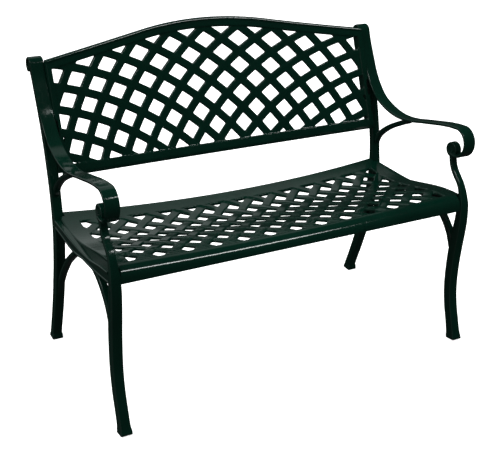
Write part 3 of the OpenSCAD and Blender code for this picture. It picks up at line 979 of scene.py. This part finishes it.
def facing(azimuth, elevation):
    """A direction. Azimuth is from +Y towards +X."""
    a, e = math.radians(azimuth), math.radians(elevation)
    return Vector((math.sin(a) * math.cos(e), math.cos(a) * math.cos(e), math.sin(e)))


def softbox(name, azimuth, elevation, distance, width, height, radiance):
    """A rectangular light that faces the bench from a direction."""
    aim = Vector((0, 0, SEAT_LOW * MM + 0.1))
    data = bpy.data.lights.new(name, "AREA")
    data.shape = "RECTANGLE"
    data.size, data.size_y = width, height
    data.energy = radiance * math.pi * width * height
    ob = bpy.data.objects.new(name, data)
    ob.location = aim + distance * facing(azimuth, elevation)
    ob.rotation_euler = (aim - ob.location).to_track_quat("-Z", "Y").to_euler()
    ob.visible_camera = False
    bpy.context.scene.collection.objects.link(ob)


def floor():
    """A pale floor that only the camera sees."""
    half = 30.0
    corners = [(-half, -half, 0), (half, -half, 0), (half, half, 0), (-half, half, 0)]
    mesh = bpy.data.meshes.new("floor")
    mesh.from_pydata(corners, [], [(0, 1, 2, 3)])
    ob = bpy.data.objects.new("floor", mesh)
    bpy.context.scene.collection.objects.link(ob)
    mat, nt, bsdf = new_material("pale floor")
    bsdf.inputs["Base Color"].default_value = (0.86, 0.86, 0.85, 1)
    bsdf.inputs["Roughness"].default_value = 0.85
    bsdf.inputs["Emission Color"].default_value = (1, 1, 1, 1)
    bsdf.inputs["Emission Strength"].default_value = 0.7
    mesh.materials.append(mat)
    ob.visible_glossy = False
    ob.visible_diffuse = False


PALE = 1.0                     # strength of the surroundings that the camera sees
SOFT = (0.02, 2.5)             # of the diffuse light, all round and from above on the left
WALL = 0.5                     # of the wall behind the bench, in reflections
ROOM, SIDE = 0.035, 0.3        # of the rest of the reflected studio, and of its left side


def glow(nt, direction, azimuth, elevation, outer, inner, low, high):
    """A strength that rises smoothly from low, outer degrees away from a direction, to high
    within inner degrees of it."""
    dot = nt.nodes.new("ShaderNodeVectorMath")
    dot.operation = "DOT_PRODUCT"
    dot.inputs[1].default_value = facing(azimuth, elevation)
    nt.links.new(direction, dot.inputs[0])
    r = nt.nodes.new("ShaderNodeMapRange")
    r.interpolation_type = "SMOOTHSTEP"
    r.inputs["From Min"].default_value = math.cos(math.radians(outer))
    r.inputs["From Max"].default_value = math.cos(math.radians(inner))
    r.inputs["To Min"].default_value = low
    r.inputs["To Max"].default_value = high
    nt.links.new(dot.outputs["Value"], r.inputs["Value"])
    return r.outputs["Result"]


def world():
    """Even pale surroundings for the camera, soft light from above on the left for diffuse
    rays, and for reflections a dark studio with one broad bright wall behind the bench."""
    w = bpy.data.worlds.new("studio")
    bpy.context.scene.world = w
    w.use_nodes = True
    nt = w.node_tree
    pale = nt.nodes["Background"]
    pale.inputs["Color"].default_value = (0.97, 0.98, 1.0, 1)
    pale.inputs["Strength"].default_value = PALE
    direction = nt.nodes.new("ShaderNodeTexCoord").outputs["Generated"]
    soft = nt.nodes.new("ShaderNodeBackground")
    above = glow(nt, direction, 245, 74, outer=66, inner=8, low=SOFT[0], high=SOFT[1])
    nt.links.new(above, soft.inputs["Strength"])
    add = nt.nodes.new("ShaderNodeMath")
    behind = glow(nt, direction, -15, 35, outer=48, inner=41, low=0.0, high=WALL)
    beside = glow(nt, direction, -90, 10, outer=60, inner=15, low=ROOM, high=SIDE)
    nt.links.new(behind, add.inputs[0])
    nt.links.new(beside, add.inputs[1])
    studio = nt.nodes.new("ShaderNodeBackground")
    studio.inputs["Color"].default_value = (0.97, 1.0, 1.0, 1)
    nt.links.new(add.outputs[0], studio.inputs["Strength"])
    path = nt.nodes.new("ShaderNodeLightPath")
    out = pale.outputs[0]
    for ray, shader in (("Is Diffuse Ray", soft), ("Is Glossy Ray", studio)):
        mix = nt.nodes.new("ShaderNodeMixShader")
        nt.links.new(path.outputs[ray], mix.inputs[0])
        nt.links.new(out, mix.inputs[1])
        nt.links.new(shader.outputs[0], mix.inputs[2])
        out = mix.outputs[0]
    nt.links.new(out, nt.nodes["World Output"].inputs["Surface"])


# ---- the whole scene --------------------------------------------------------
green = powder_coat("green powder coat", (0.0016, 0.027, 0.0165), (0.0012, 0.021, 0.0130))
for side in (-1, 1):
    side_frame(side, green)
seat_panel(green)
back_panel(green)
steel = bolt_steel()
for node in ("post_bolts", "seat_bolts"):
    for m in frame["nodes"][node].material_slots:
        m.material = steel

floor()
world()
look_from(az=-28.547, el=22.887, roll=0.567, pos=(-1.151, -2.077, 1.344), lens=67.85)
softbox("key", azimuth=150, elevation=47, distance=3.2, width=1.3, height=0.34, radiance=17)
softbox("left", azimuth=262, elevation=40, distance=3.2, width=0.9, height=0.9, radiance=5)
bpy.context.scene.view_settings.view_transform = "Standard"
bpy.context.scene.view_settings.gamma = 0.86
